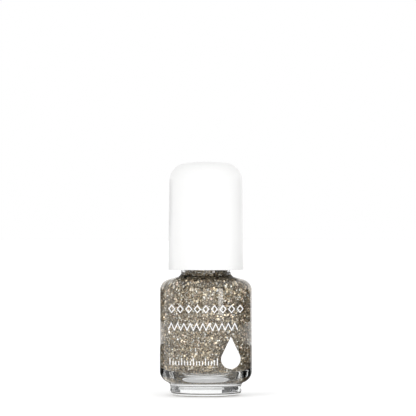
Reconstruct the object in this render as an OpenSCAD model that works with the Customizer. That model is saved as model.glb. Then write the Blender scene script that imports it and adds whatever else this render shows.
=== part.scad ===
// Small round nail polish bottle: a thick glass bottle on a stepped foot, filled with polish, and a tall
// domed cap that carries the brush. Millimetres, +Z up, origin at the centre of the foot's underside.
// The printed front faces -Y. Everything is drawn with the cap screwed home.

/* [Bottle] */
// Radius of the straight glass body
body_r = 11; // [10:0.1:12]
// Radius of the foot
foot_r = 8.5; // [8:0.1:9]
// Height of the foot, up to the step under the body
foot_h = 3; // [2.5:0.1:3.5]
// Rounding of the foot's lower edge
foot_edge_r = 1.35; // [0.8:0.05:1.8]
// Rounding of the body's lower edge
heel_r = 2.9; // [2:0.1:3.5]
// Hollow rounding between the foot and the body's underside
foot_fillet_r = 1; // [0.4:0.1:1.2]
// Rounding of the shoulder
shoulder_r = 2.75; // [2:0.05:3.5]
// Height at which the straight side ends and the shoulder begins
shoulder_z = 25.1; // [22:0.1:27]
// Slope of the shoulder towards the neck, in degrees
shoulder_slope = 16; // [10:1:25]
// Radius of the neck, between the threads
neck_r = 5.95; // [5.8:0.05:6.1]
// Rounding between the neck and the shoulder
neck_fillet_r = 1.2; // [0.8:0.1:1.6]
// Height of the bottle's mouth
mouth_z = 41; // [40:0.1:42]

/* [Cavity] */
// Radius inside the body
cavity_r = 8.75; // [8.5:0.05:9.2]
// Radius of the bore through the neck
bore_r = 3.8; // [3.5:0.1:4]
// Height of the cavity's floor over the table
floor_z = 5.3; // [4.8:0.1:5.6]
// Rounding of the cavity's floor
floor_r = 3; // [2.5:0.1:4]
// Height that the polish reaches
fill_z = 31; // [28:0.5:34]

/* [Cap] */
// Height of the cap's lower rim
cap_z = 30.05; // [30:0.05:30.5]
// Height of the top of the cap
cap_top_z = 55.85; // [54:0.05:58]
// Outer radius at the rim
cap_r = 9.03; // [8.9:0.01:9.3]
// Narrowing of the side, in degrees
cap_draft = 0.85; // [0.5:0.05:1]
// Rounding between the side and the dome
cap_edge_r = 4.3; // [3:0.1:5]
// Radius of the shallow dome
cap_dome_r = 41; // [30:1:60]
// Wall thickness
cap_wall = 1; // [0.9:0.05:1.1]

/* [Thread] */
// Rise in one turn
lead = 2.12; // [2.1:0.01:2.2]
// Turns of thread on the neck
neck_turns = 1.75; // [1.5:0.25:2]
// Turns of thread in the inner cap
cap_turns = 1.75; // [1.5:0.25:2]
// Radius of the neck thread's crest
thread_r = 6.5; // [6.4:0.05:6.55]

/* [Brush] */
// Radius of the stem at its lower end
stem_r = 1.6; // [1.4:0.1:1.7]
// Height of the stem's lower end
stem_end_z = 21; // [19:0.5:24]
// Height of the tip of the bristles
tip_z = 7.2; // [6.9:0.1:8]
// Widest radius of the bristles
bristle_r = 1.75; // [1.5:0.05:1.8]

/* [Mixing balls] */
// Radius of a ball
ball_r = 2; // [1.5:0.1:2]
// Distance of the balls' centres from the bottle's axis
orbit_r = 4.6; // [4.3:0.1:4.6]

/* [Print] */
// Thickness of the ink
ink_t = 0.04; // [0.03:0.01:0.06]
// Width of a thin printed line
ink_line = 0.2; // [0.15:0.01:0.3]

/* [Hidden] */
$fn = 96;
over = 1;               // how far a cutter runs past what it cuts
fit = 0.02;             // gap between pieces that touch on round faces
lap = 0.5;              // how far joined shapes of an outline run into each other

heel_z = foot_h + heel_r;
// Centre of the rounding under the heel, which touches the foot's side and the heel's circle
under_x = foot_r + foot_fillet_r;
under_z = heel_z - sqrt(pow(heel_r + foot_fillet_r, 2) - pow(under_x - body_r + heel_r, 2));
// Where the sloping shoulder leaves the shoulder's rounding
slope_r = body_r - shoulder_r + shoulder_r * sin(shoulder_slope);
slope_z = shoulder_z + shoulder_r * cos(shoulder_slope);
// Centre of the rounding between the neck and the slope
fillet_x = neck_r + neck_fillet_r;
fillet_z = slope_z + (neck_fillet_r + (slope_r - fillet_x) * sin(shoulder_slope)) / cos(shoulder_slope);
mouth_edge_r = 0.4;

punt_r = 6.2;           // shallow hollow under the foot
punt_h = 0.5;

inner_shoulder_r = 3;   // the cavity's shoulder, rounding and slope
inner_shoulder_z = shoulder_z - 1.1;
inner_slope = 20;

liner_t = 0.8;
ceiling_z = mouth_z + liner_t;
ceiling_t = 1;
skirt_r = 6.75;         // inside of the inner cap's skirt
skirt_wall = 0.75;
skirt_z = cap_z + 0.55;
socket_top_z = ceiling_z + 7;
plug_r = 1.9;
flange_r = 3.2;
spline_count = 16;
spline = [0.42, 0.6];   // depth and width of a spline
spline_base = 1.5;      // splines start this far above the skirt's rim
socket_wall = 1;        // wall of the inner cap's socket for the stem
grip_rib_count = 8;
rib_t = 0.7;            // thickness of ribs and fins
rib_gap = 0.04;         // play between a rib and the inner cap
rib_out_r = cap_r - 0.73;   // ribs and fins end inside the cap's wall
fin_count = 4;
fin_turn = 22.5;        // fins stand between two ribs, in degrees
fin_in_r = 5.8;
side_drop = 1;          // the straight side ends this far below the dome's edge

ridge_root_w = 1.1;
ridge_crest_w = 0.5;
cap_ridge_crest_r = 6.05;
cap_ridge_root_w = 1;
cap_ridge_crest_w = 0.4;
thread_steps = 36;      // sections in one turn
neck_thread_z = 35.6;   // middle of the neck thread where it starts
thread_play = 0.82;     // how far the cap's thread runs below the neck's
thread_bury = 0.3;      // how far a ridge is sunk into its wall

socket_depth = 3.6;     // hole in the stem's end that holds the bristles
socket_r = 1.15;
staple = [2.9, 0.36, 1.3];
staple_z = stem_end_z + socket_depth - 0.9;
stem_taper = 0.2;       // the stem widens this much up to its flange
flange_drop = 1.5;      // the flange's cone starts this far below the mouth
stem_edge = 0.3;        // bevel on the stem's lower end
plug_gap = 0.4;         // room left above the stem in its socket
belly_z = tip_z + 3.5;  // height where the bristles are widest
bristle_waist_z = stem_end_z - 4.5;

well_r = 2.1;           // room that the brush keeps open in the polish
well_z = tip_z + 1.5;   // centre of the well's round end
channel_r = ball_r + 0.08;
ball_z = floor_z + ball_r + 0.4;

// Printed shapes: how many, their pitch and height, and the place of each row
diamonds = [9, 2.02, 2];
diamonds_at = [0, 20.9];
zigzags = [11, 1.5, 1.8];
zigzags_at = [-0.7, 16.7];
drop_size = [2.3, 7.6];
drop_at = [5.9, 9.05];
ticks = [17, 0.7, 1.7];
ticks_at = [-8.6, 7.6];

// A turned shape: the half outline in X and Z, spun round the axis.
module turned() { rotate_extrude() children(); }

// Area under a line of constant slope that falls from (x1, z1) outwards to (x0, z0), down to base.
module under_slope(x0, z0, x1, z1, base) {
    polygon([[0, base], [x0, base], [x0, z0], [x1, z1], [0, z1]]);
}

// ---- Glass bottle ----

module foot_outline() {
    square([foot_r - foot_edge_r, foot_h + over]);
    translate([0, foot_edge_r]) square([foot_r, foot_h + lap - foot_edge_r]);
    translate([foot_r - foot_edge_r, foot_edge_r]) circle(foot_edge_r);
    difference() {
        // The web between the foot's side, the heel's circle and the hollow rounding
        polygon([[foot_r - lap, under_z], [under_x, under_z], [body_r - heel_r, heel_z],
            [foot_r - lap, heel_z]]);
        translate([under_x, under_z]) circle(foot_fillet_r);
    }
}

module body_outline() {
    translate([0, foot_h]) square([body_r - heel_r, heel_r]);
    translate([body_r - heel_r, heel_z]) circle(heel_r);
    translate([0, heel_z]) square([body_r, shoulder_z - heel_z]);
    translate([body_r - shoulder_r, shoulder_z]) circle(shoulder_r);
    difference() {
        union() {
            translate([0, shoulder_z - over]) square([slope_r - lap, over]);
            under_slope(slope_r, slope_z, neck_r, slope_z + (slope_r - neck_r) * tan(shoulder_slope),
                shoulder_z);
            translate([0, shoulder_z]) square([fillet_x - neck_fillet_r * sin(shoulder_slope),
                fillet_z - shoulder_z]);
        }
        translate([fillet_x, fillet_z]) circle(neck_fillet_r);
    }
}

module neck_outline() {
    translate([0, shoulder_z]) square([neck_r, mouth_z - mouth_edge_r - shoulder_z]);
    translate([neck_r - mouth_edge_r, mouth_z - mouth_edge_r]) circle(mouth_edge_r);
    translate([0, shoulder_z]) square([neck_r - mouth_edge_r, mouth_z - shoulder_z]);
}

// The space inside, drawn in by gap, up to height top.
module cavity_outline(gap = 0, top = mouth_z + over) {
    r = cavity_r - gap;
    corner = floor_r - gap;
    arc_r = inner_shoulder_r - gap;
    neck = bore_r - gap;
    x = cavity_r - inner_shoulder_r;
    sx = x + arc_r * sin(inner_slope);
    sz = inner_shoulder_z + arc_r * cos(inner_slope);
    translate([0, floor_z + gap]) square([r - corner, floor_r]);
    translate([r - corner, floor_z + floor_r]) circle(corner);
    translate([0, floor_z + floor_r]) square([r, inner_shoulder_z - floor_z - floor_r]);
    translate([x, inner_shoulder_z]) circle(arc_r);
    under_slope(sx, sz, neck, sz + (sx - neck) * tan(inner_slope), inner_shoulder_z);
    translate([0, inner_shoulder_z]) square([neck, top - inner_shoulder_z]);
}

// A thread ridge: a four-sided section carried up a right-hand helix, sunk into the wall by bury and
// fading out over a tenth of a turn at each end. root_r may lie outside crest_r, for a thread in a bore.
module thread_ridge(root_r, crest_r, root_w, crest_w, z0, turns) {
    inward = crest_r < root_r;
    bury = inward ? thread_bury : -thread_bury;
    count = round(turns * thread_steps);
    fade = thread_steps / 10;
    function height(i) = max(0.02, min(1, i / fade, (count - i) / fade));
    function section(i) = let (
        a = 360 * i / thread_steps,
        z = z0 + lead * i / thread_steps,
        crest = root_r + (crest_r - root_r) * height(i)
    ) [
        for (p = [[root_r + bury, -root_w / 2], [crest, -crest_w / 2],
                  [crest, crest_w / 2], [root_r + bury, root_w / 2]])
            [p[0] * cos(a), p[0] * sin(a), z + p[1]]
    ];
    points = [for (i = [0:count]) each section(i)];
    sides = [for (i = [0:count - 1], k = [0:3]) let (n = (k + 1) % 4)
        [4 * i + k, 4 * i + n, 4 * i + 4 + n, 4 * i + 4 + k]];
    ends = [[3, 2, 1, 0], [for (k = [0:3]) 4 * count + k]];
    outward_faces = concat(sides, ends);
    faces = inward ? [for (f = outward_faces) [for (k = [len(f) - 1:-1:0]) f[k]]] : outward_faces;
    polyhedron(points, faces);
}

module bottle_glass() {
    color([0.86, 0.9, 0.9, 0.45]) {
        turned() difference() {
            union() { foot_outline(); body_outline(); neck_outline(); }
            cavity_outline();
            translate([0, -over]) square([punt_r, punt_h + over]);
        }
        thread_ridge(neck_r, thread_r, ridge_root_w, ridge_crest_w, neck_thread_z, neck_turns);
    }
}

// ---- Printed marks ----

module diamond(w, h) { polygon([[-w / 2, 0], [0, -h / 2], [w / 2, 0], [0, h / 2]]); }

// A row of hollow diamonds across the front.
module diamond_row(count, pitch, h) {
    w = pitch * 0.82;
    for (i = [0:count - 1])
        translate([(i - (count - 1) / 2) * pitch, 0]) difference() {
            diamond(w, h);
            diamond(w - 2.6 * ink_line, h * (1 - 2.6 * ink_line / w));
        }
}

// One line that zigzags across the front.
module zigzag(count, pitch, h) {
    x0 = -count * pitch / 2;
    rise = (h - ink_line) / 2;
    thick = ink_line * sqrt(1 + pow(4 * rise / pitch, 2)) / 2;
    mid = [for (i = [0:2 * count]) [x0 + i * pitch / 2, (i % 2 == 0 ? -1 : 1) * rise]];
    last = len(mid) - 1;
    polygon(concat([for (p = mid) [p[0], p[1] + thick]],
        [for (k = [0:last]) [mid[last - k][0], mid[last - k][1] - thick]]));
}

// A solid drop: a round bottom and two straight sides that touch it and meet in a point above.
module drop(r, h) {
    reach = h - r;
    lean = acos(r / reach);
    steps = 40;
    sweep = 360 - 2 * lean;
    polygon(concat([[0, reach]],
        [for (i = [0:steps]) let (a = lean + sweep * i / steps) [r * sin(a), r * cos(a)]]));
}

// A row of short upright strokes, every fourth one taller.
module tick_row(count, pitch, h) {
    for (i = [0:count - 1])
        translate([i * pitch, 0]) square([ink_line, i % 4 == 0 ? h : h * 0.6]);
}

module print_art() {
    translate(diamonds_at) diamond_row(diamonds[0], diamonds[1], diamonds[2]);
    translate(zigzags_at) zigzag(zigzags[0], zigzags[1], zigzags[2]);
    translate(drop_at) drop(drop_size[0], drop_size[1]);
    translate(ticks_at) tick_row(ticks[0], ticks[1], ticks[2]);
}

module screen_print() {
    color("white") intersection() {
        rotate([90, 0, 0]) linear_extrude(body_r + over) print_art();
        difference() {
            translate([0, 0, heel_z]) cylinder(r = body_r + ink_t, h = shoulder_z - heel_z);
            translate([0, 0, heel_z - over]) cylinder(r = body_r, h = shoulder_z - heel_z + 2 * over);
        }
    }
}

// ---- Contents ----

module polish_fill() {
    color([0.52, 0.48, 0.42]) turned() difference() {
        intersection() {
            cavity_outline(fit, fill_z);
            square([cavity_r, fill_z]);
        }
        translate([0, well_z]) square([well_r, fill_z]);
        intersection() {
            translate([0, well_z]) circle(well_r);
            square([well_r, fill_z]);
        }
        translate([orbit_r, ball_z]) circle(channel_r);
    }
}

module mixing_ball(side) {
    color([0.75, 0.75, 0.78]) translate([side * orbit_r, 0, ball_z]) sphere(ball_r);
}
module mixing_ball_1() { mixing_ball(-1); }
module mixing_ball_2() { mixing_ball(1); }

// ---- Cap ----

// A flat washer that seals the bottle's mouth. It stays still on the glass while the cap turns on it.
module sealing_liner() {
    color([0.92, 0.92, 0.9]) translate([0, 0, mouth_z]) difference() {
        cylinder(r = neck_r - 0.15, h = liner_t);
        translate([0, 0, -over]) cylinder(r = flange_r + 0.3, h = liner_t + 2 * over);
    }
}

// The cap's outline, drawn in by inset: a side with a slight draft, a rounded edge and a shallow dome.
module cap_outline(inset = 0, base = cap_z) {
    edge_r = cap_edge_r - inset;
    dome_r = cap_dome_r - inset;
    dome_z = cap_top_z - cap_dome_r;
    side_h = cap_top_z - cap_edge_r - side_drop - cap_z;
    edge_cx = cap_r - side_h * tan(cap_draft) - cap_edge_r / cos(cap_draft);
    edge_cz = dome_z + sqrt(pow(cap_dome_r - cap_edge_r, 2) - pow(edge_cx, 2));
    side_r = edge_cx + edge_r * cos(cap_draft);
    side_z = edge_cz + edge_r * sin(cap_draft);
    base_r = side_r + (side_z - base) * tan(cap_draft);
    touch = dome_r / (cap_dome_r - cap_edge_r);
    polygon([[0, base], [base_r, base], [side_r, side_z], [edge_cx, edge_cz], [0, edge_cz]]);
    translate([edge_cx, edge_cz]) circle(edge_r);
    intersection() {
        translate([0, dome_z]) circle(dome_r, $fn = 256);
        polygon([[0, edge_cz - lap], [edge_cx, edge_cz],
            [edge_cx * touch, dome_z + (edge_cz - dome_z) * touch],
            [edge_cx * touch, cap_top_z + over], [0, cap_top_z + over]]);
    }
}

module overcap() {
    grip_r = skirt_r + skirt_wall + rib_gap;
    fin_z = ceiling_z + ceiling_t;
    color([0.97, 0.97, 0.96]) union() {
        turned() difference() {
            cap_outline();
            cap_outline(cap_wall, cap_z - over);
        }
        // Ribs that sit between the inner cap's splines, and fins above them that bear on its top.
        for (i = [0:grip_rib_count - 1])
            rotate([0, 0, (i + 0.25) * 360 / grip_rib_count])
                translate([grip_r, -rib_t / 2, cap_z + rib_t])
                    cube([rib_out_r - grip_r, rib_t, fin_z - cap_z - 2 * rib_t]);
        for (i = [0:fin_count - 1])
            rotate([0, 0, i * 360 / fin_count + fin_turn]) translate([fin_in_r, -rib_t / 2, fin_z])
                cube([rib_out_r - 0.1 - fin_in_r, rib_t, cap_top_z - cap_edge_r - side_drop - fin_z]);
    }
}

module inner_cap() {
    wall_r = skirt_r + skirt_wall;
    rim_bevel = 0.2;
    deck_bevel = 0.3;
    deck_z = ceiling_z + ceiling_t;
    color([0.9, 0.9, 0.88]) {
        turned() polygon([
            [skirt_r, skirt_z], [wall_r - rim_bevel, skirt_z], [wall_r, skirt_z + rim_bevel],
            [wall_r, deck_z - deck_bevel], [wall_r - deck_bevel, deck_z],
            [plug_r + socket_wall + 0.1, deck_z], [plug_r + socket_wall, socket_top_z],
            [plug_r, socket_top_z], [plug_r, ceiling_z], [skirt_r, ceiling_z]
        ]);
        for (i = [0:spline_count - 1])
            rotate([0, 0, i * 360 / spline_count])
                translate([wall_r - spline[0] / 2, -spline[1] / 2, skirt_z + spline_base])
                    cube([spline[0], spline[1], ceiling_z - skirt_z - spline_base]);
        thread_ridge(skirt_r, cap_ridge_crest_r, cap_ridge_root_w, cap_ridge_crest_w,
            neck_thread_z - thread_play, cap_turns);
    }
}

// ---- Brush ----

module brush_stem() {
    color([0.93, 0.93, 0.9]) difference() {
        turned() {
            polygon([
                [0, stem_end_z], [stem_r - stem_edge, stem_end_z], [stem_r, stem_end_z + stem_edge],
                [stem_r + stem_taper, mouth_z - flange_drop], [flange_r, mouth_z],
                [flange_r, ceiling_z - fit], [plug_r - fit, ceiling_z - fit],
                [plug_r - fit, socket_top_z - 3 * plug_gap], [plug_r - 0.5, socket_top_z - plug_gap],
                [0, socket_top_z - plug_gap]
            ]);
        }
        translate([0, 0, stem_end_z - over]) cylinder(r = socket_r, h = socket_depth + over);
        translate([-staple[0] / 2, -staple[1] / 2, staple_z]) cube(staple);
    }
}

module bristle_staple() {
    color([0.8, 0.65, 0.35])
        translate([-staple[0] / 2 + fit, -staple[1] / 2 + fit, staple_z + fit])
            cube([staple[0] - 2 * fit, staple[1] - 2 * fit, staple[2] - 2 * fit]);
}

module bristle_bundle() {
    color([0.16, 0.15, 0.14]) difference() {
        turned() {
            polygon([
                [0, belly_z], [bristle_r, belly_z], [bristle_r - 0.08, bristle_waist_z],
                [socket_r, stem_end_z - 0.4], [socket_r - fit, stem_end_z],
                [socket_r - fit, stem_end_z + socket_depth - fit], [0, stem_end_z + socket_depth - fit]
            ]);
            // Trimmed tip: half an oval, drawn as an arc of a larger circle on each side.
            tip_arc = (pow(belly_z - tip_z, 2) + pow(bristle_r, 2)) / (2 * bristle_r);
            intersection() {
                translate([bristle_r - tip_arc, belly_z]) circle(tip_arc, $fn = 128);
                translate([0, tip_z]) square([bristle_r, belly_z - tip_z]);
            }
        }
        translate([-staple[0] / 2, -staple[1] / 2, staple_z]) cube(staple);
    }
}

bottle_glass();
screen_print();
polish_fill();
mixing_ball_1();
mixing_ball_2();
sealing_liner();
overcap();
inner_cap();
brush_stem();
bristle_staple();
bristle_bundle();
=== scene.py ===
import math

import bmesh
import bpy
import numpy as np
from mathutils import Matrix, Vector


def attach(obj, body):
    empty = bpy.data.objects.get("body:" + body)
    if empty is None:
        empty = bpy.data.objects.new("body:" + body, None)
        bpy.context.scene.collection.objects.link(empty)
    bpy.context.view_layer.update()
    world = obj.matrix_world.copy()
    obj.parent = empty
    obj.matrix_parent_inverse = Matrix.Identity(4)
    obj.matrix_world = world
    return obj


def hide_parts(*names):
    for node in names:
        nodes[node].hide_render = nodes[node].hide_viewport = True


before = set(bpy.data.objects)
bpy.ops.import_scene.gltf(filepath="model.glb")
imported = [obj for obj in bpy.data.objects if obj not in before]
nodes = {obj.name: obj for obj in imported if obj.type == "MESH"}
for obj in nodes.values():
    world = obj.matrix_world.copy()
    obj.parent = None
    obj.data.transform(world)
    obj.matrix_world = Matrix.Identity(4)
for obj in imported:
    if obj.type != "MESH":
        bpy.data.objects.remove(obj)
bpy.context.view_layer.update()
mm = 0.001
tau = 2 * math.pi
rng = np.random.default_rng(11)


class Wire:
    # one output socket; arithmetic on it adds maths nodes to its tree
    def __init__(self, maker, socket):
        self.maker, self.socket = maker, socket

    def math(self, kind, other):
        node = self.maker.tree.nodes.new("ShaderNodeMath")
        node.operation = kind
        self.maker.feed(node.inputs[0], self)
        self.maker.feed(node.inputs[1], other)
        return Wire(self.maker, node.outputs[0])

    def __add__(self, other):
        return self.math("ADD", other)

    def __sub__(self, other):
        return self.math("SUBTRACT", other)

    def __rsub__(self, other):
        return (self * -1.0) + other

    def __mul__(self, other):
        return self.math("MULTIPLY", other)

    def ramp(self, low, high):
        # 0 below low, 1 above high, smooth between them
        return self.maker.node("ShaderNodeMapRange", {"interpolation_type": "SMOOTHSTEP"},
                               {"Value": self, "From Min": low, "From Max": high})


class Maker:
    # builds one material; settings go to the closing Principled shader
    def __init__(self, name):
        self.material = bpy.data.materials.new(name)
        self.material.use_nodes = True
        self.tree = self.material.node_tree
        self.tree.nodes.clear()

    def feed(self, socket, value):
        if isinstance(value, Wire):
            self.tree.links.new(value.socket, socket)
        else:
            socket.default_value = value

    def node(self, kind, settings=None, inputs=None, output=0):
        node = self.tree.nodes.new(kind)
        for key, value in (settings or {}).items():
            setattr(node, key, value)
        for key, value in (inputs or {}).items():
            self.feed(node.inputs[key], value)
        return Wire(self, node.outputs[output])

    def mix(self, share, first, second):
        # colour mix of two colours by a share of 0 to 1
        node = self.tree.nodes.new("ShaderNodeMix")
        node.data_type = "RGBA"
        for place, value in ((0, share), (6, first), (7, second)):
            self.feed(node.inputs[place], value)
        return Wire(self, node.outputs[2])

    def where(self):
        return self.node("ShaderNodeTexCoord", output="Object")

    def height(self):
        return self.node("ShaderNodeSeparateXYZ", inputs={"Vector": self.where()}, output="Z")

    def noise(self, scale, detail=3.0, roughness=0.5):
        return self.node("ShaderNodeTexNoise", inputs={
            "Vector": self.where(), "Scale": scale, "Detail": detail, "Roughness": roughness})

    def cells(self, scale, output):
        return self.node("ShaderNodeTexVoronoi", inputs={
            "Vector": self.where(), "Scale": scale}, output=output)

    def bump(self, height, strength, distance):
        return self.node("ShaderNodeBump", inputs={
            "Height": height, "Strength": strength, "Distance": distance})

    def close(self, **inputs):
        shader = self.tree.nodes.new("ShaderNodeBsdfPrincipled")
        for key, value in inputs.items():
            self.feed(shader.inputs[key.replace("_", " ")], value)
        end = self.tree.nodes.new("ShaderNodeOutputMaterial")
        self.tree.links.new(shader.outputs[0], end.inputs["Surface"])
        return self.material


def glitterColour(make, scale):
    # each cell of a Voronoi pattern is one flake: dark taupe, champagne, silver or rose
    pick = make.node("ShaderNodeSeparateColor", inputs={"Color": make.cells(scale, "Color")}, output="Red")
    warm = make.mix(pick.ramp(0.0, 0.45), (0.13, 0.10, 0.07, 1), (0.50, 0.41, 0.28, 1))
    pale = make.mix(pick.ramp(0.55, 0.9), warm, (0.70, 0.62, 0.49, 1))
    return make.mix(pick.ramp(0.93, 0.97), pale, (0.95, 0.90, 0.84, 1))


def cellNormal(make, scale, spread):
    # tilts the surface normal by a different fixed amount in each cell, like flakes lying at odd angles
    def vector(operation, first, second):
        node = make.tree.nodes.new("ShaderNodeVectorMath")
        node.operation = operation
        make.feed(node.inputs[0], first)
        if second is not None:
            make.feed(node.inputs[3 if operation == "SCALE" else 1], second)
        return Wire(make, node.outputs[0])

    tilt = vector("SCALE", vector("SUBTRACT", make.cells(scale, "Color"), (0.5, 0.5, 0.5)), spread)
    straight = make.node("ShaderNodeNewGeometry", output="Normal")
    return vector("NORMALIZE", vector("ADD", straight, tilt), None)


def glassMaterial(name, index):
    make = Maker(name)
    return make.close(Base_Color=(0.985, 0.995, 0.99, 1), Roughness=0.0, IOR=index, Transmission_Weight=1.0,
                      Normal=make.bump(make.noise(160, 2.0), 0.05, 0.0004))


def lacquerMaterial():
    make = Maker("glitterLacquer")
    shade = make.noise(420, 4.0).ramp(0.3, 0.7)
    colour = make.mix(shade * 0.3, glitterColour(make, 5200), (0.16, 0.125, 0.085, 1))
    return make.close(Base_Color=colour, Metallic=0.75, Roughness=0.42, Specular_IOR_Level=0.1,
                      Normal=cellNormal(make, 5200, 1.1))


def flakeMaterial():
    make = Maker("glitterFlakes")
    tint = make.node("ShaderNodeAttribute", {"attribute_name": "tint"}, output="Color")
    return make.close(Base_Color=tint, Metallic=1.0, Roughness=0.30)


def coatedMaterial(name, bare, roughness, top, edge):
    # a part that has been dipped: bare above the height top, a wet coat of glitter lacquer below it
    make = Maker(name)
    line = make.height() + (make.noise(260, 3.0) - 0.5) * edge
    wet = 1.0 - line.ramp(top - edge * 0.2, top + edge * 0.2)
    lump = make.noise(900, 2.0)
    return make.close(Base_Color=make.mix(wet, bare, glitterColour(make, 5600)),
                      Metallic=wet * 0.6, Roughness=wet * -(roughness - 0.22) + roughness,
                      Normal=make.bump(lump * wet, 0.6, 0.00012))


def capMaterial():
    make = Maker("capWhite")
    grain = make.noise(2600, 2.0)
    return make.close(Base_Color=(0.82, 0.82, 0.815, 1), Roughness=make.noise(90, 2.0) * 0.06 + 0.27,
                      Specular_IOR_Level=0.5, Normal=make.bump(grain, 0.04, 0.00002))


def plasticMaterial(name, colour, roughness, grainScale=1800, grain=0.08):
    make = Maker(name)
    mottle = make.noise(220, 3.0).ramp(0.3, 0.7)
    dim = tuple(0.93 * c for c in colour[:3]) + (1,)
    return make.close(Base_Color=make.mix(mottle, dim, colour), Roughness=mottle * 0.08 + roughness,
                      Normal=make.bump(make.noise(grainScale, 2.0), grain, 0.00004))


def metalMaterial(name, colour, roughness):
    make = Maker(name)
    smear = make.noise(700, 3.0)
    return make.close(Base_Color=colour, Metallic=1.0, Roughness=smear * 0.15 + roughness)


def inkMaterial():
    make = Maker("whiteInk")
    return make.close(Base_Color=(0.93, 0.93, 0.93, 1), Roughness=0.45,
                      Normal=make.bump(make.noise(2400, 3.0), 0.15, 0.00002))


def arc(x, z, radius, start, end, count=16, tall=None):
    # an arc about (x, z): (x + radius cos t, z + tall sin t), t from start to end in degrees
    t = np.radians(np.linspace(start, end, count))
    return np.stack([x + radius * np.cos(t), z + (tall or radius) * np.sin(t)], 1)


def outline(*parts):
    return np.concatenate([np.atleast_2d(np.array(p, float)) for p in parts])


def crisp(points, reach=0.03, sharp=24):
    # a corner that turns more than sharp degrees gets a close point either side, so it shades as an edge
    out = [points[0]]
    for a, b, c in zip(points[:-2], points[1:-1], points[2:]):
        d, e = b - a, c - b
        before, after = np.hypot(*d), np.hypot(*e)
        if min(before, after) < 1e-6:
            continue
        turn = abs(math.degrees(math.atan2(d[0] * e[1] - d[1] * e[0], d @ e)))
        if turn > sharp:
            out += [b - d / before * min(reach, before / 3), b, b + e / after * min(reach, after / 3)]
        else:
            out.append(b)
    return np.array(out + [points[-1]])


def dense(points, step, low=-1e9, high=1e9):
    # splits each stretch between the heights low and high into pieces no longer than step
    out = [points[0]]
    for a, b in zip(points[:-1], points[1:]):
        inside = min(a[1], b[1]) >= low and max(a[1], b[1]) <= high
        count = max(1, math.ceil(np.hypot(*(b - a)) / step)) if inside else 1
        out += [a + (b - a) * k / count for k in range(1, count + 1)]
    return np.array(out)


def spun(points, count, bend=None, ring=False):
    # vertices and faces of an outline spun round Z: (r cos a, r sin a, z), moved first by bend(a, r, z).
    # A ring closes on itself; otherwise the outline starts and ends on the axis.
    loop = np.vstack([points, points[:1]]) if ring else points
    if (((loop[1:, 0] ** 2 + loop[:-1, 0] ** 2) / 2) * np.diff(loop[:, 1])).sum() < 0:
        points = points[::-1]
    rows = points if ring else points[1:-1]
    angle = np.broadcast_to(np.arange(count) * tau / count, (len(rows), count))
    r = np.repeat(rows[:, :1], count, 1)
    z = np.repeat(rows[:, 1:], count, 1)
    if bend:
        r, z = bend(angle, r, z)
    grid = np.stack([r * np.cos(angle), r * np.sin(angle), z], 2).reshape(-1, 3)
    i = np.arange(len(rows) if ring else len(rows) - 1)[:, None]
    j = np.arange(count)[None, :]
    up, on = (i + 1) % len(rows), (j + 1) % count
    faces = np.stack([i * count + j, i * count + on, up * count + on, up * count + j], 2)
    faces = faces.reshape(-1, 4).tolist()
    if not ring:
        low, high = len(grid), len(grid) + 1
        grid = np.vstack([grid, [[0, 0, points[0, 1]], [0, 0, points[-1, 1]]]])
        last = (len(rows) - 1) * count
        faces += [[low, (k + 1) % count, k] for k in range(count)]
        faces += [[high, last + k, last + (k + 1) % count] for k in range(count)]
    return grid, faces


def block(low, high, turn=0.0):
    # a box between two corners, turned about Z
    c, s = math.cos(turn), math.sin(turn)
    corners = [(x, y, z) for z in (low[2], high[2]) for y in (low[1], high[1]) for x in (low[0], high[0])]
    grid = np.array([(c * x - s * y, s * x + c * y, z) for x, y, z in corners])
    return grid, [[0, 2, 3, 1], [4, 5, 7, 6], [0, 1, 5, 4], [1, 3, 7, 5], [3, 2, 6, 7], [2, 0, 4, 6]]


def piece(name, shapes, body, material, stands=(), smooth=True):
    # one object from several (vertices in mm, faces); a box, with its 6 faces, isn't smoothed
    verts, faces, soft = [], [], []
    start = 0
    for grid, quads in shapes:
        verts.append(np.asarray(grid))
        faces += [[v + start for v in q] for q in quads]
        soft += [smooth and len(quads) > 6] * len(quads)
        start += len(grid)
    data = bpy.data.meshes.new(name)
    data.from_pydata((np.concatenate(verts) * mm).tolist(), [], faces)
    data.polygons.foreach_set("use_smooth", np.array(soft, bool))
    data.materials.append(material)
    data.update()
    obj = bpy.data.objects.new(name, data)
    bpy.context.scene.collection.objects.link(obj)
    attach(obj, body)
    if stands:
        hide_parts(*stands)
    return obj


def ridge(start, lead, turns, rootWidth, crestWidth, height):
    # height of a helical thread ridge at an angle and a height on the wall: a trapezoid about the helix
    # z = start + lead * t, t turns up, fading out over a tenth of a turn at both ends
    def lift(angle, z):
        best = np.zeros_like(z)
        for k in range(math.ceil(turns) + 1):
            t = angle / tau + k
            across = np.abs(z - start - lead * t)
            side = np.clip((rootWidth / 2 - across) / ((rootWidth - crestWidth) / 2), 0, 1)
            side = side * side * (3 - 2 * side)
            fade = np.clip(np.minimum(t, turns - t) / 0.1, 0, 1)
            best = np.maximum(best, side * fade)
        return best * height
    return lift


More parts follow.
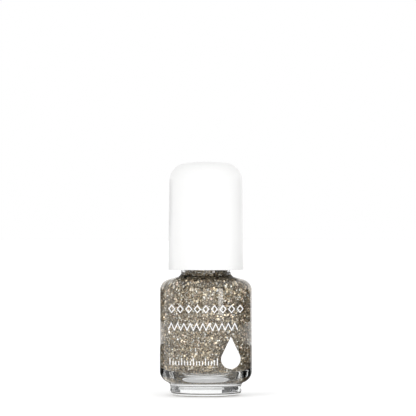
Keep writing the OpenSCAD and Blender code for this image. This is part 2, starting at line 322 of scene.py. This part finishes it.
bottle = {
    "radius": 11.0, "footRadius": 8.5, "footEdge": 1.35, "heelRadius": 2.9, "heelZ": 5.9,
    "footFillet": 1.0, "shoulderRadius": 2.75, "shoulderZ": 25.1, "slope": 16.0, "neckRadius": 5.95,
    "fillet": 1.2, "mouthZ": 41.0, "boreRadius": 3.8, "lipOuter": 0.4, "lipInner": 0.3,
    "puntRadius": 6.2, "puntDepth": 0.5, "puntSlant": (0.25, 0.2), "puntBevel": 0.08,
    "belowThread": 0.7, "belowMouth": 0.9, "fineStep": 0.085, "sides": 288,
    "glassIndex": 1.52, "polishIndex": 1.39,
}
cavity = {"radius": 8.75, "floorZ": 5.3, "corner": 3.0, "shoulderRadius": 3.0, "shoulderZ": 24.0,
          "slope": 20.0, "fillZ": 31.0, "wellRadius": 2.1, "wellZ": 8.7}
thread = {"lead": 2.12, "turns": 1.75, "startZ": 35.6, "rootWidth": 1.1, "crestWidth": 0.5,
          "height": 0.55}


def cavityOutline(gap, floorGap, top):
    # the space in the glass, drawn in by gap at the sides and floorGap at the floor, from the axis up to top
    c = cavity
    x = c["radius"] - c["corner"]
    sx = c["radius"] - c["shoulderRadius"]
    shoulder = arc(sx, c["shoulderZ"], c["shoulderRadius"] - gap, 0, 90 - c["slope"], 14)
    neck = bottle["boreRadius"] - gap
    bend = shoulder[-1, 1] + (shoulder[-1, 0] - neck) * math.tan(math.radians(c["slope"]))
    corner = arc(x, c["floorZ"] + c["corner"], c["corner"] - gap, -90, 0, 20, c["corner"] - floorGap)
    return outline((0, c["floorZ"] + floorGap), corner, shoulder, (neck, bend), (neck, top))


def glassOutline():
    b = bottle
    slope = math.radians(b["slope"])
    slantIn, slantDown = b["puntSlant"]
    # the hollow rounding under the heel touches the foot's wall and the heel's circle
    across = b["footRadius"] + b["footFillet"] - b["radius"] + b["heelRadius"]
    below = math.sqrt((b["heelRadius"] + b["footFillet"]) ** 2 - across ** 2)
    heel = math.degrees(math.atan2(below, across))
    sx = b["radius"] - b["shoulderRadius"]
    slopeR = sx + b["shoulderRadius"] * math.sin(slope)
    slopeZ = b["shoulderZ"] + b["shoulderRadius"] * math.cos(slope)
    fx = b["neckRadius"] + b["fillet"]
    fz = slopeZ + (b["fillet"] + (slopeR - fx) * math.sin(slope)) / math.cos(slope)
    outside = outline(
        (0, b["puntDepth"]), (b["puntRadius"] - slantIn, b["puntDepth"]),
        (b["puntRadius"], b["puntDepth"] - slantDown),
        (b["puntRadius"], b["puntBevel"]), (b["puntRadius"] + b["puntBevel"], 0),
        arc(b["footRadius"] - b["footEdge"], b["footEdge"], b["footEdge"], -90, 0, 18),
        arc(b["footRadius"] + b["footFillet"], b["heelZ"] - below, b["footFillet"], 180, 180 - heel, 14),
        arc(b["radius"] - b["heelRadius"], b["heelZ"], b["heelRadius"], -heel, 0, 24)[1:],
        arc(sx, b["shoulderZ"], b["shoulderRadius"], 0, 90 - b["slope"], 24),
        arc(fx, fz, b["fillet"], 270 - b["slope"], 180, 16),
        (b["neckRadius"], thread["startZ"] - b["belowThread"]),
        (b["neckRadius"], b["mouthZ"] - b["belowMouth"]),
        arc(b["neckRadius"] - b["lipOuter"], b["mouthZ"] - b["lipOuter"], b["lipOuter"], 0, 90, 8),
        arc(b["boreRadius"] + b["lipInner"], b["mouthZ"] - b["lipInner"], b["lipInner"], 90, 180, 8))
    whole = crisp(outline(outside, cavityOutline(0, 0, cavity["fillZ"])[::-1]))
    # a fine grid on the neck, with 0.05 of reach past its ends, carries the thread
    low = thread["startZ"] - b["belowThread"] - 0.05
    return dense(whole, b["fineStep"], low, b["mouthZ"] - b["belowMouth"] + 0.05)


def glassBottle():
    onNeck = ridge(thread["startZ"], thread["lead"], thread["turns"], thread["rootWidth"],
                   thread["crestWidth"], thread["height"])

    def bend(angle, r, z):
        wall = np.abs(r - bottle["neckRadius"]) < 0.01
        return r + np.where(wall, onNeck(angle, z), 0), z

    obj = piece("glassBottle", [spun(glassOutline(), bottle["sides"], bend)], "bottle",
                glassMaterial("clearGlass", bottle["glassIndex"]), ["bottle_glass"])
    # where polish wets the inner wall light bends by the ratio of the two indices
    ratio = bottle["glassIndex"] / bottle["polishIndex"]
    obj.data.materials.append(glassMaterial("wettedGlass", ratio))
    centre, normal = np.zeros((2, len(obj.data.polygons) * 3))
    obj.data.polygons.foreach_get("center", centre)
    obj.data.polygons.foreach_get("normal", normal)
    centre, normal = centre.reshape(-1, 3) / mm, normal.reshape(-1, 3)
    # inner faces look towards the axis or straight up
    inward = (centre[:, :2] * normal[:, :2]).sum(1) < 1e-3
    wetted = inward & (centre[:, 2] > cavity["floorZ"] - 0.02) & (centre[:, 2] < cavity["fillZ"])
    obj.data.polygons.foreach_set("material_index", wetted.astype(np.int32))
    return obj


polish = {
    "gap": 0.35, "floorGap": 0.26, "wallDrop": 0.8, "lipGap": 0.01, "lipDrop": 0.4, "ringGap": 0.06,
    "clear": 0.03, "depth": 0.12, "flakes": 21000, "largeShare": 0.3, "small": (0.09, 0.15),
    "large": (0.17, 0.28), "tilt": 0.5,
    # champagne, silver, rose and dark taupe, the share of each, and the spread of brightness
    "tints": [[0.82, 0.69, 0.50], [0.97, 0.93, 0.85], [0.95, 0.74, 0.60], [0.34, 0.25, 0.16]],
    "tintShares": [0.42, 0.24, 0.08, 0.26], "brightness": (0.6, 1.2),
}
balls = {"orbit": 4.6, "z": 7.7, "radius": 2.0}


def polishCore():
    # the opaque heart of the polish, with the brush's well open at the top and a closed ring for the balls
    c = cavity
    wall = cavityOutline(polish["gap"], polish["floorGap"], c["fillZ"] - polish["wallDrop"])
    lip = bottle["boreRadius"] - polish["lipGap"]
    well = arc(0, c["wellZ"], c["wellRadius"], 0, -90, 14)
    shape = crisp(outline(wall, (lip, c["fillZ"] - polish["lipDrop"]), (lip, c["fillZ"]),
                          (c["wellRadius"], c["fillZ"]), well))
    grid, faces = spun(shape, 192)
    hollow = arc(balls["orbit"], balls["z"], balls["radius"] + polish["ringGap"], 0, 345, 24)
    ballGrid, ballFaces = spun(hollow, 96, ring=True)
    inward = [f[::-1] for f in ballFaces]
    return piece("polishCore", [(grid, faces), (ballGrid, inward)], "bottle", lacquerMaterial(),
                 ["polish_fill"])


def scattered(path, count):
    # count random places on the surface an outline sweeps, evenly by area: position, outward normal, slope
    mid, step = (path[1:] + path[:-1]) / 2, np.diff(path, axis=0)
    length = np.hypot(step[:, 0], step[:, 1])
    weight = mid[:, 0] * length
    pick = rng.choice(len(mid), count, p=weight / weight.sum())
    at = path[pick] + step[pick] * rng.random((count, 1))
    normal = np.stack([step[pick, 1], -step[pick, 0]], 1) / length[pick][:, None]
    angle = rng.random(count) * tau
    return at, normal, angle


def flakeShapes(centre, normal, size, spin):
    # flat hexagons: centre + size (cos t u + sin t v), u and v square to the normal, t in sixths of a turn
    other = np.where(np.abs(normal[:, 2:3]) < 0.9, [[0.0, 0.0, 1.0]], [[1.0, 0.0, 0.0]])
    u = np.cross(normal, other)
    u /= np.linalg.norm(u, axis=1)[:, None]
    v = np.cross(normal, u)
    t = spin[:, None] + np.arange(6) * tau / 6
    across = np.cos(t)[..., None] * u[:, None] + np.sin(t)[..., None] * v[:, None]
    grid = centre[:, None] + size[:, None, None] * across
    return grid.reshape(-1, 3), np.arange(len(centre) * 6).reshape(-1, 6).tolist()


def flakeTints(count):
    # a kind of flake picked by its share, times a random brightness
    kinds = np.array(polish["tints"])
    pick = rng.choice(4, count, p=polish["tintShares"])
    return np.clip(kinds[pick] * rng.uniform(*polish["brightness"], (count, 1)), 0, 1)


def flakeCloud(name, at, normal, angle, sizes, tilt, body, material, clear):
    # every flake lies at its own tilt, sunk so far that its upper edge stays clear of the surface
    count = len(at)
    cos, sin = np.cos(angle), np.sin(angle)
    centre = np.stack([at[:, 0] * cos, at[:, 0] * sin, at[:, 1]], 1)
    out = np.stack([normal[:, 0] * cos, normal[:, 0] * sin, normal[:, 1]], 1)
    face = out + rng.normal(0, tilt, (count, 3))
    face /= np.linalg.norm(face, axis=1)[:, None]
    rise = sizes * np.sqrt(np.clip(1 - (face * out).sum(1) ** 2, 0, 1))
    centre -= out * (clear + rise + rng.uniform(0, polish["depth"], count))[:, None]
    grid, faces = flakeShapes(centre, face, sizes, rng.random(count) * tau)
    obj = piece(name, [(grid, faces)], body, material, smooth=False)
    colours = obj.data.attributes.new("tint", "FLOAT_COLOR", "FACE")
    colours.data.foreach_set("color", np.hstack([flakeTints(count), np.ones((count, 1))]).ravel())
    return obj


def flakeSizes(count):
    large = rng.random(count) < polish["largeShare"]
    return np.where(large, rng.uniform(*polish["large"], count), rng.uniform(*polish["small"], count))


def polishFlakes(material):
    path = cavityOutline(0.0, 0.0, cavity["fillZ"] - 0.1)
    at, normal, angle = scattered(dense(path, 0.5), polish["flakes"])
    return flakeCloud("polishFlakes", at, normal, angle, flakeSizes(len(at)), polish["tilt"],
                      "bottle", material, polish["clear"])


ink = {
    "line": 0.2, "lift": 0.035, "sink": 0.003, "fill": 0.82, "cut": 0.5,
    # count, pitch, height, place across, place up
    "diamonds": (9, 2.02, 2.0, 0.0, 20.9), "zigzag": (11, 1.5, 1.8, -0.7, 16.7),
    "ticks": (17, 0.7, 1.7, -8.6, 7.6), "shortTick": 0.6,
    # radius, height, place across, place up
    "drop": (2.3, 7.6, 5.9, 9.05),
}


def inkLoops():
    # flat outlines of the printed shapes, as lists of polygons without holes
    shapes = []
    count, pitch, tall, x0, z0 = ink["diamonds"]
    wide = pitch * ink["fill"]
    for i in range(count):
        x = x0 + (i - (count - 1) / 2) * pitch
        inner = 1 - 2.6 * ink["line"] / wide
        corners = np.array([[-wide / 2, 0], [0, -tall / 2], [wide / 2, 0], [0, tall / 2]])
        for k in range(4):
            a, b = corners[k], corners[(k + 1) % 4]
            shapes.append(np.array([a, b, b * inner, a * inner]) + (x, z0))
    count, pitch, tall, x0, z0 = ink["zigzag"]
    rise = (tall - ink["line"]) / 2
    thick = ink["line"] * math.sqrt(1 + (4 * rise / pitch) ** 2) / 2
    mid = np.array([[x0 - count * pitch / 2 + i * pitch / 2, z0 + (rise if i % 2 else -rise)]
                    for i in range(2 * count + 1)])
    for a, b in zip(mid[:-1], mid[1:]):
        shapes.append(np.array([a - (0, thick), b - (0, thick), b + (0, thick), a + (0, thick)]))
    r, tall, x0, z0 = ink["drop"]
    lean = math.acos(r / (tall - r))
    t = np.linspace(lean, tau - lean, 49)
    rounded = np.stack([r * np.sin(t), r * np.cos(t)], 1)
    shapes.append(np.vstack([[0, tall - r], rounded])[::-1] + (x0, z0))
    count, pitch, tall, x0, z0 = ink["ticks"]
    for i in range(count):
        high = tall if i % 4 == 0 else tall * ink["shortTick"]
        left = x0 + i * pitch
        right = left + ink["line"]
        shapes.append(np.array([[left, z0], [right, z0], [right, z0 + high], [left, z0 + high]]))
    return shapes


def printedMarks():
    # flat shapes cut into narrow strips, thickened, then wrapped: (R sin t, -R cos t), sin t = x / radius
    work = bmesh.new()
    for loop in inkLoops():
        work.faces.new([work.verts.new((x, 0, z)) for x, z in loop])
    bmesh.ops.remove_doubles(work, verts=work.verts, dist=1e-4)
    for cut in np.arange(-9.5, 9.6, ink["cut"]):
        bmesh.ops.bisect_plane(work, geom=work.verts[:] + work.edges[:] + work.faces[:],
                               plane_co=(cut, 0, 0), plane_no=(1, 0, 0), dist=1e-5)
    bmesh.ops.recalc_face_normals(work, faces=work.faces)
    for face in work.faces:
        if face.normal.y > 0:
            face.normal_flip()
    made = bmesh.ops.extrude_face_region(work, geom=work.faces[:])
    moved = [e for e in made["geom"] if isinstance(e, bmesh.types.BMVert)]
    top = set(moved)
    for v in work.verts:
        turn = math.asin(v.co.x / bottle["radius"])
        r = bottle["radius"] + (ink["lift"] if v in top else ink["sink"])
        v.co = Vector((r * math.sin(turn), -r * math.cos(turn), v.co.z)) * mm
    bmesh.ops.recalc_face_normals(work, faces=work.faces)
    data = bpy.data.meshes.new("printedMarks")
    work.to_mesh(data)
    work.free()
    data.materials.append(inkMaterial())
    obj = bpy.data.objects.new("printedMarks", data)
    bpy.context.scene.collection.objects.link(obj)
    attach(obj, "bottle")
    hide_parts("screen_print")
    return obj


cap = {
    "radius": 9.03, "bottom": 30.05, "top": 55.85, "draft": 0.85, "edge": 4.3, "dome": 41.0, "wall": 1.0,
    "crownDrop": 1.0, "sideStart": 0.15, "wallStart": 0.1, "rimOut": 0.05, "rimUp": 0.03, "rimFlat": 0.18,
    "rimIn": 0.08, "ribs": 8, "ribWidth": 0.7, "ribOut": 8.3, "ribGap": 0.04, "ribEnds": 0.7,
    "ribTurn": 0.25, "fins": 4, "finIn": 5.8, "finInset": 0.1, "finTurn": 22.5,
}
inner = {"skirt": 6.75, "wall": 0.75, "bottom": 30.6, "ceiling": 41.8, "deck": 1.0, "socketTop": 48.8,
         "bore": 1.9, "splines": 16, "splineRise": 0.2, "splineShare": 0.86,
         "threadDrop": 0.82, "threadHeight": 0.7, "threadRoot": 1.0,
         "threadCrest": 0.4}


def capOutline(inset, low):
    # side, rounded edge and shallow dome, from the rim up to the axis
    draft = math.radians(cap["draft"])
    side = cap["top"] - cap["edge"] - cap["crownDrop"] - cap["bottom"]
    x = cap["radius"] - side * math.tan(draft) - cap["edge"] / math.cos(draft)
    domeZ = cap["top"] - cap["dome"]
    z = domeZ + math.sqrt((cap["dome"] - cap["edge"]) ** 2 - x * x)
    meet = math.degrees(math.atan2(z - domeZ, x))
    edge = arc(x, z, cap["edge"] - inset, cap["draft"], meet, 26)
    rim = edge[0, 0] + (edge[0, 1] - low) * math.tan(draft)
    dome = arc(0, domeZ, cap["dome"] - inset, meet, 90, 12)[1:]
    dome[-1, 0] = 0
    return outline((rim, low), edge, dome)


def capShell():
    outside = capOutline(0, cap["bottom"] + cap["sideStart"])
    inside = capOutline(cap["wall"], cap["bottom"] + cap["wallStart"])[::-1]
    rim = outline((outside[0, 0] - cap["rimOut"], cap["bottom"] + cap["rimUp"]),
                  (outside[0, 0] - cap["rimFlat"], cap["bottom"]),
                  (inside[-1, 0] + cap["rimIn"], cap["bottom"]))
    shape = outline(inside, rim[::-1], outside)
    shapes = [spun(crisp(shape), 256)]
    grip = inner["skirt"] + inner["wall"] + cap["ribGap"]
    half = cap["ribWidth"] / 2
    deck = inner["ceiling"] + inner["deck"]
    for i in range(cap["ribs"]):
        shapes.append(block((grip, -half, cap["bottom"] + cap["ribEnds"]),
                            (cap["ribOut"], half, deck - cap["ribEnds"]),
                            (i + cap["ribTurn"]) * tau / cap["ribs"]))
    crown = cap["top"] - cap["edge"] - cap["crownDrop"]
    for i in range(cap["fins"]):
        shapes.append(block((cap["finIn"], -half, deck), (cap["ribOut"] - cap["finInset"], half, crown),
                            math.radians(i * 360 / cap["fins"] + cap["finTurn"])))
    return piece("capShell", shapes, "closure", capMaterial(), ["overcap"])


def innerCap():
    n = inner
    wall = n["skirt"] + n["wall"]
    deck = n["ceiling"] + n["deck"]
    shape = outline((n["skirt"], n["bottom"]), (wall - 0.2, n["bottom"]), (wall, n["bottom"] + 0.2),
                    (wall, n["bottom"] + 1.4), (wall, n["ceiling"]), (wall, deck - 0.3), (wall - 0.3, deck),
                    (n["bore"] + 1.1, deck), (n["bore"] + 1, n["socketTop"]), (n["bore"], n["socketTop"]),
                    (n["bore"], n["ceiling"]), (n["skirt"], n["ceiling"]), (n["skirt"], n["bottom"] + 0.02))
    shape = dense(crisp(shape), 0.11, n["bottom"] + 1.0, n["ceiling"])
    inCap = ridge(thread["startZ"] - n["threadDrop"], thread["lead"], thread["turns"], n["threadRoot"],
                  n["threadCrest"], n["threadHeight"])

    def bend(angle, r, z):
        bore = np.abs(r - n["skirt"]) < 0.005
        outer = (np.abs(r - wall) < 0.005) & (z > n["bottom"] + 1.45) & (z < n["ceiling"] - 0.05)
        tooth = np.cos(angle * n["splines"]) > n["splineShare"]
        return r - np.where(bore, inCap(angle, z), 0) + np.where(outer & tooth, n["splineRise"], 0), z

    return piece("innerCap", [spun(shape, 320, bend, ring=True)], "closure",
                 plasticMaterial("innerCapPlastic", (0.84, 0.84, 0.82, 1), 0.38), ["inner_cap"])


brush = {"stemRadius": 1.6, "stemEnd": 21.0, "flange": 3.2, "socket": 1.15, "socketDepth": 3.6,
         "tip": 7.2, "belly": 10.7, "widest": 1.68, "hairs": 430, "hairRadius": 0.042, "sections": 16,
         "hairSides": 5, "taperFrom": 0.8, "taperLength": 0.2, "taper": 0.75,
         "fitGap": 0.02,
         # where the coat of lacquer ends on each, and how ragged its edge is, in metres
         "stemCoat": (0.030, 0.004), "hairCoat": (0.0195, 0.003)}


def brushStem():
    b = brush
    seat = bottle["mouthZ"]
    gap = b["fitGap"]
    shape = outline(
        (0, b["stemEnd"] + b["socketDepth"]), (b["socket"], b["stemEnd"] + b["socketDepth"]),
        (b["socket"], b["stemEnd"]), arc(b["stemRadius"] - 0.25, b["stemEnd"] + 0.25, 0.25, -90, 0, 6),
        (b["stemRadius"] + 0.2, seat - 1.5), (b["flange"] - 0.1, seat - 0.05), (b["flange"], seat),
        (b["flange"], inner["ceiling"] - gap), (inner["bore"] - gap, inner["ceiling"] - gap),
        (inner["bore"] - gap, inner["socketTop"] - 1.2), (inner["bore"] - 0.5, inner["socketTop"] - 0.4),
        (0, inner["socketTop"] - 0.4))
    material = coatedMaterial("stemPlastic", (0.86, 0.86, 0.84, 1), 0.35, *b["stemCoat"])
    return piece("brushStem", [spun(crisp(dense(shape, 1.0)), 96)], "closure", material,
                 ["brush_stem"])


def bristles():
    # each filament leaves the socket, spreads to the belly and stops at a rounded trim:
    # radius = place * spread(z) + a slow sideways wander, thickness tapers to the tip
    b = brush
    n, m, sides = b["hairs"], b["sections"], b["hairSides"]
    place = np.sqrt((np.arange(n) + 0.5) / n)
    angle = np.arange(n) * math.pi * (3 - math.sqrt(5)) + rng.normal(0, 0.05, n)
    top = b["stemEnd"] + b["socketDepth"] - 0.1
    end = b["tip"] + (b["belly"] - b["tip"]) * (1 - np.sqrt(1 - place ** 2)) + rng.uniform(0, 0.35, n)
    t = np.linspace(0, 1, m)
    z = top + (end[:, None] - top) * t
    out = np.clip((b["stemEnd"] - z) / (b["stemEnd"] - b["belly"]), 0, 1)
    out = out * out * (3 - 2 * out)
    spread = (b["socket"] - 0.08) + (b["widest"] - b["socket"] + 0.08) * out
    wander = rng.normal(0, 0.035, (n, 1, 2)) * out[..., None] + 0.02 * np.sin(
        t[None, :, None] * rng.uniform(3, 7, (n, 1, 2)) + rng.random((n, 1, 2)) * tau) * out[..., None]
    x = place[:, None] * spread * np.cos(angle)[:, None] + wander[..., 0]
    y = place[:, None] * spread * np.sin(angle)[:, None] + wander[..., 1]
    start = b["taperFrom"]
    taper = np.where(t < start, 1, 1 - b["taper"] * (t - start) / b["taperLength"])
    thick = b["hairRadius"] * taper[None, :] * rng.uniform(0.85, 1.15, (n, 1))
    a = np.arange(sides) * tau / sides
    grid = np.stack([x[..., None] + thick[..., None] * np.cos(a),
                     y[..., None] + thick[..., None] * np.sin(a),
                     np.repeat(z[..., None], sides, 2)], 3)
    h = np.arange(n)[:, None, None] * m * sides
    i = np.arange(m - 1)[None, :, None] * sides
    j = np.arange(sides)[None, None, :]
    on = (j + 1) % sides
    faces = np.stack([h + i + j, h + i + sides + j, h + i + sides + on, h + i + on], 3)
    faces = faces.reshape(-1, 4).tolist()
    root = np.arange(n)[:, None] * m * sides
    ends = (root + np.arange(sides)).tolist()
    ends += [q[::-1] for q in (root + (m - 1) * sides + np.arange(sides)).tolist()]
    material = coatedMaterial("bristleNylon", (0.03, 0.028, 0.026, 1), 0.4, *b["hairCoat"])
    return piece("bristles", [(grid.reshape(-1, 3), faces + ends)], "closure", material,
                 ["bristle_bundle"])


# colour and roughness, and for the foam its grain's scale and depth
smallParts = {"steel": ((0.62, 0.62, 0.64, 1), 0.12), "brass": ((0.72, 0.53, 0.26, 1), 0.22),
              "foam": ((0.86, 0.86, 0.85, 1), 0.6, 3200, 0.3)}


def dressNode(name, material, slot):
    # a CAD node shown as it is, with its own finish
    data = nodes[name].data
    data.materials.clear()
    data.materials.append(material)
    smooth = name in ("mixing_ball_1", "mixing_ball_2")
    data.polygons.foreach_set("use_smooth", np.full(len(data.polygons), smooth))


stage = {
    "cards": [  # from and to in degrees round from straight behind, radius, low, high, glow
        (18.6, 53.6, 0.60, 0.0, 0.08, 0.02),
        (-34.8, -92.0, 0.60, 0.0, 0.08, 0.02),
        (-92.0, -262.0, 1.30, 0.0, 1.10, 0.40),
    ],
    "flags": [  # painted reflections: dark and glowing grey sheets just above the floor that show only in reflections and through the glass: from and to degrees, near, far, glow
        (18.6, 53.6, 0.0088, 0.30, 0.0),
        (-34.8, -92.0, 0.0088, 0.30, 0.0),
        (-34.8, 18.6, 0.0088, 0.30, 0.50),
    ],
    "lights": [  # place, size, power
        ((-0.55, -0.95, 0.35), (0.40, 0.55), 2.8),
        ((0.65, -0.85, 0.25), (0.25, 0.55), 2.6),
        ((0.12, -1.15, 0.22), (0.60, 0.45), 1.6),
    ],
    "world": 1.0, "floorGlow": 0.30, "floorTone": 0.86,
}


def plainMaterial(name, tone, glow):
    make = Maker(name)
    return make.close(Base_Color=(tone, tone, tone, 1), Roughness=0.7, Specular_IOR_Level=0.1,
                      Emission_Color=(1, 1, 1, 1), Emission_Strength=glow)


def card(name, start, end, radius, low, high, material):
    # part of an upright cylinder round the object
    t = np.radians(np.linspace(start, end, max(4, int(abs(end - start) / 3))))
    verts = [(-radius * math.sin(a), radius * math.cos(a), z) for a in t for z in (low, high)]
    faces = [[2 * i, 2 * i + 1, 2 * i + 3, 2 * i + 2] for i in range(len(t) - 1)]
    data = bpy.data.meshes.new(name)
    data.from_pydata(verts, [], faces)
    data.materials.append(material)
    obj = bpy.data.objects.new(name, data)
    bpy.context.scene.collection.objects.link(obj)
    obj.visible_camera = False
    return obj


def reflectionSheet(name, start, end, near, far, material):
    # a flat ring sector just above the floor that paints a dark or glowing grey patch into reflections and
    # the view through the glass
    t = np.radians(np.linspace(start, end, 16))
    verts = [(-r * math.sin(a), r * math.cos(a), 0.0001) for a in t for r in (near, far)]
    data = bpy.data.meshes.new(name)
    data.from_pydata(verts, [], [[2 * i, 2 * i + 1, 2 * i + 3, 2 * i + 2] for i in range(len(t) - 1)])
    data.materials.append(material)
    obj = bpy.data.objects.new(name, data)
    bpy.context.scene.collection.objects.link(obj)
    # hidden from camera, diffuse light and shadows: the sheet lights and shades nothing and is only a
    # painted reflection
    obj.visible_camera = obj.visible_diffuse = obj.visible_shadow = False


def buildStage():
    scene = bpy.context.scene
    data = bpy.data.meshes.new("floor")
    data.from_pydata([(-4, -4, 0), (4, -4, 0), (4, 4, 0), (-4, 4, 0)], [], [[0, 1, 2, 3]])
    data.materials.append(plainMaterial("floorWhite", stage["floorTone"], stage["floorGlow"]))
    floor = bpy.data.objects.new("floor", data)
    scene.collection.objects.link(floor)
    floor.location.z = -0.00002
    for k, (start, end, radius, low, high, glow) in enumerate(stage["cards"]):
        card(f"card{k}", start, end, radius, low, high, plainMaterial(f"card{k}", 0.02, glow))
    # painted reflections: sheets seen only in the glass and in glossy surfaces, either dark or with a grey
    # glow
    for k, (start, end, near, far, glow) in enumerate(stage["flags"]):
        reflectionSheet(f"flag{k}", start, end, near, far, plainMaterial(f"flag{k}", 0.01, glow))
    for k, (place, size, power) in enumerate(stage["lights"]):
        lamp = bpy.data.lights.new(f"softbox{k}", "AREA")
        lamp.shape = "RECTANGLE"
        lamp.size, lamp.size_y = size
        lamp.energy = power
        obj = bpy.data.objects.new(f"softbox{k}", lamp)
        obj.location = place
        obj.rotation_euler = (Vector((0, 0, 0.03)) - Vector(place)).to_track_quat("-Z", "Y").to_euler()
        obj.visible_camera = False
        scene.collection.objects.link(obj)
    world = bpy.data.worlds.new("studio")
    world.use_nodes = True
    back = world.node_tree.nodes["Background"]
    back.inputs["Color"].default_value = (1, 1, 1, 1)
    back.inputs["Strength"].default_value = stage["world"]
    scene.world = world
    scene.view_settings.view_transform = "Standard"
    scene.cycles.max_bounces = 24
    scene.cycles.transmission_bounces = 20
    scene.cycles.transparent_max_bounces = 12


view = {"distance": 0.85, "height": 0.0448, "side": 0.0005, "width": 0.0995}


def buildCamera():
    data = bpy.data.cameras.new("camera")
    data.sensor_width = 36
    data.lens = data.sensor_width * view["distance"] / view["width"]
    data.clip_start, data.clip_end = 0.01, 20
    obj = bpy.data.objects.new("camera", data)
    obj.location = (view["side"], -view["distance"], view["height"])
    obj.rotation_euler = (math.radians(90), 0, 0)
    bpy.context.scene.collection.objects.link(obj)
    bpy.context.scene.camera = obj


print("bottle")
glassBottle()
polishCore()
flakes = flakeMaterial()
polishFlakes(flakes)
printedMarks()
print("cap")
capShell()
innerCap()
print("brush")
brushStem()
bristles()
print("small parts")
steel = metalMaterial("ballSteel", *smallParts["steel"])
dressNode("mixing_ball_1", steel, "ball_steel")
dressNode("mixing_ball_2", steel, "ball_steel")
dressNode("bristle_staple", metalMaterial("stapleBrass", *smallParts["brass"]), "staple_brass")
dressNode("sealing_liner", plasticMaterial("linerFoam", *smallParts["foam"]), "liner_foam")
print("stage")
buildStage()
buildCamera()
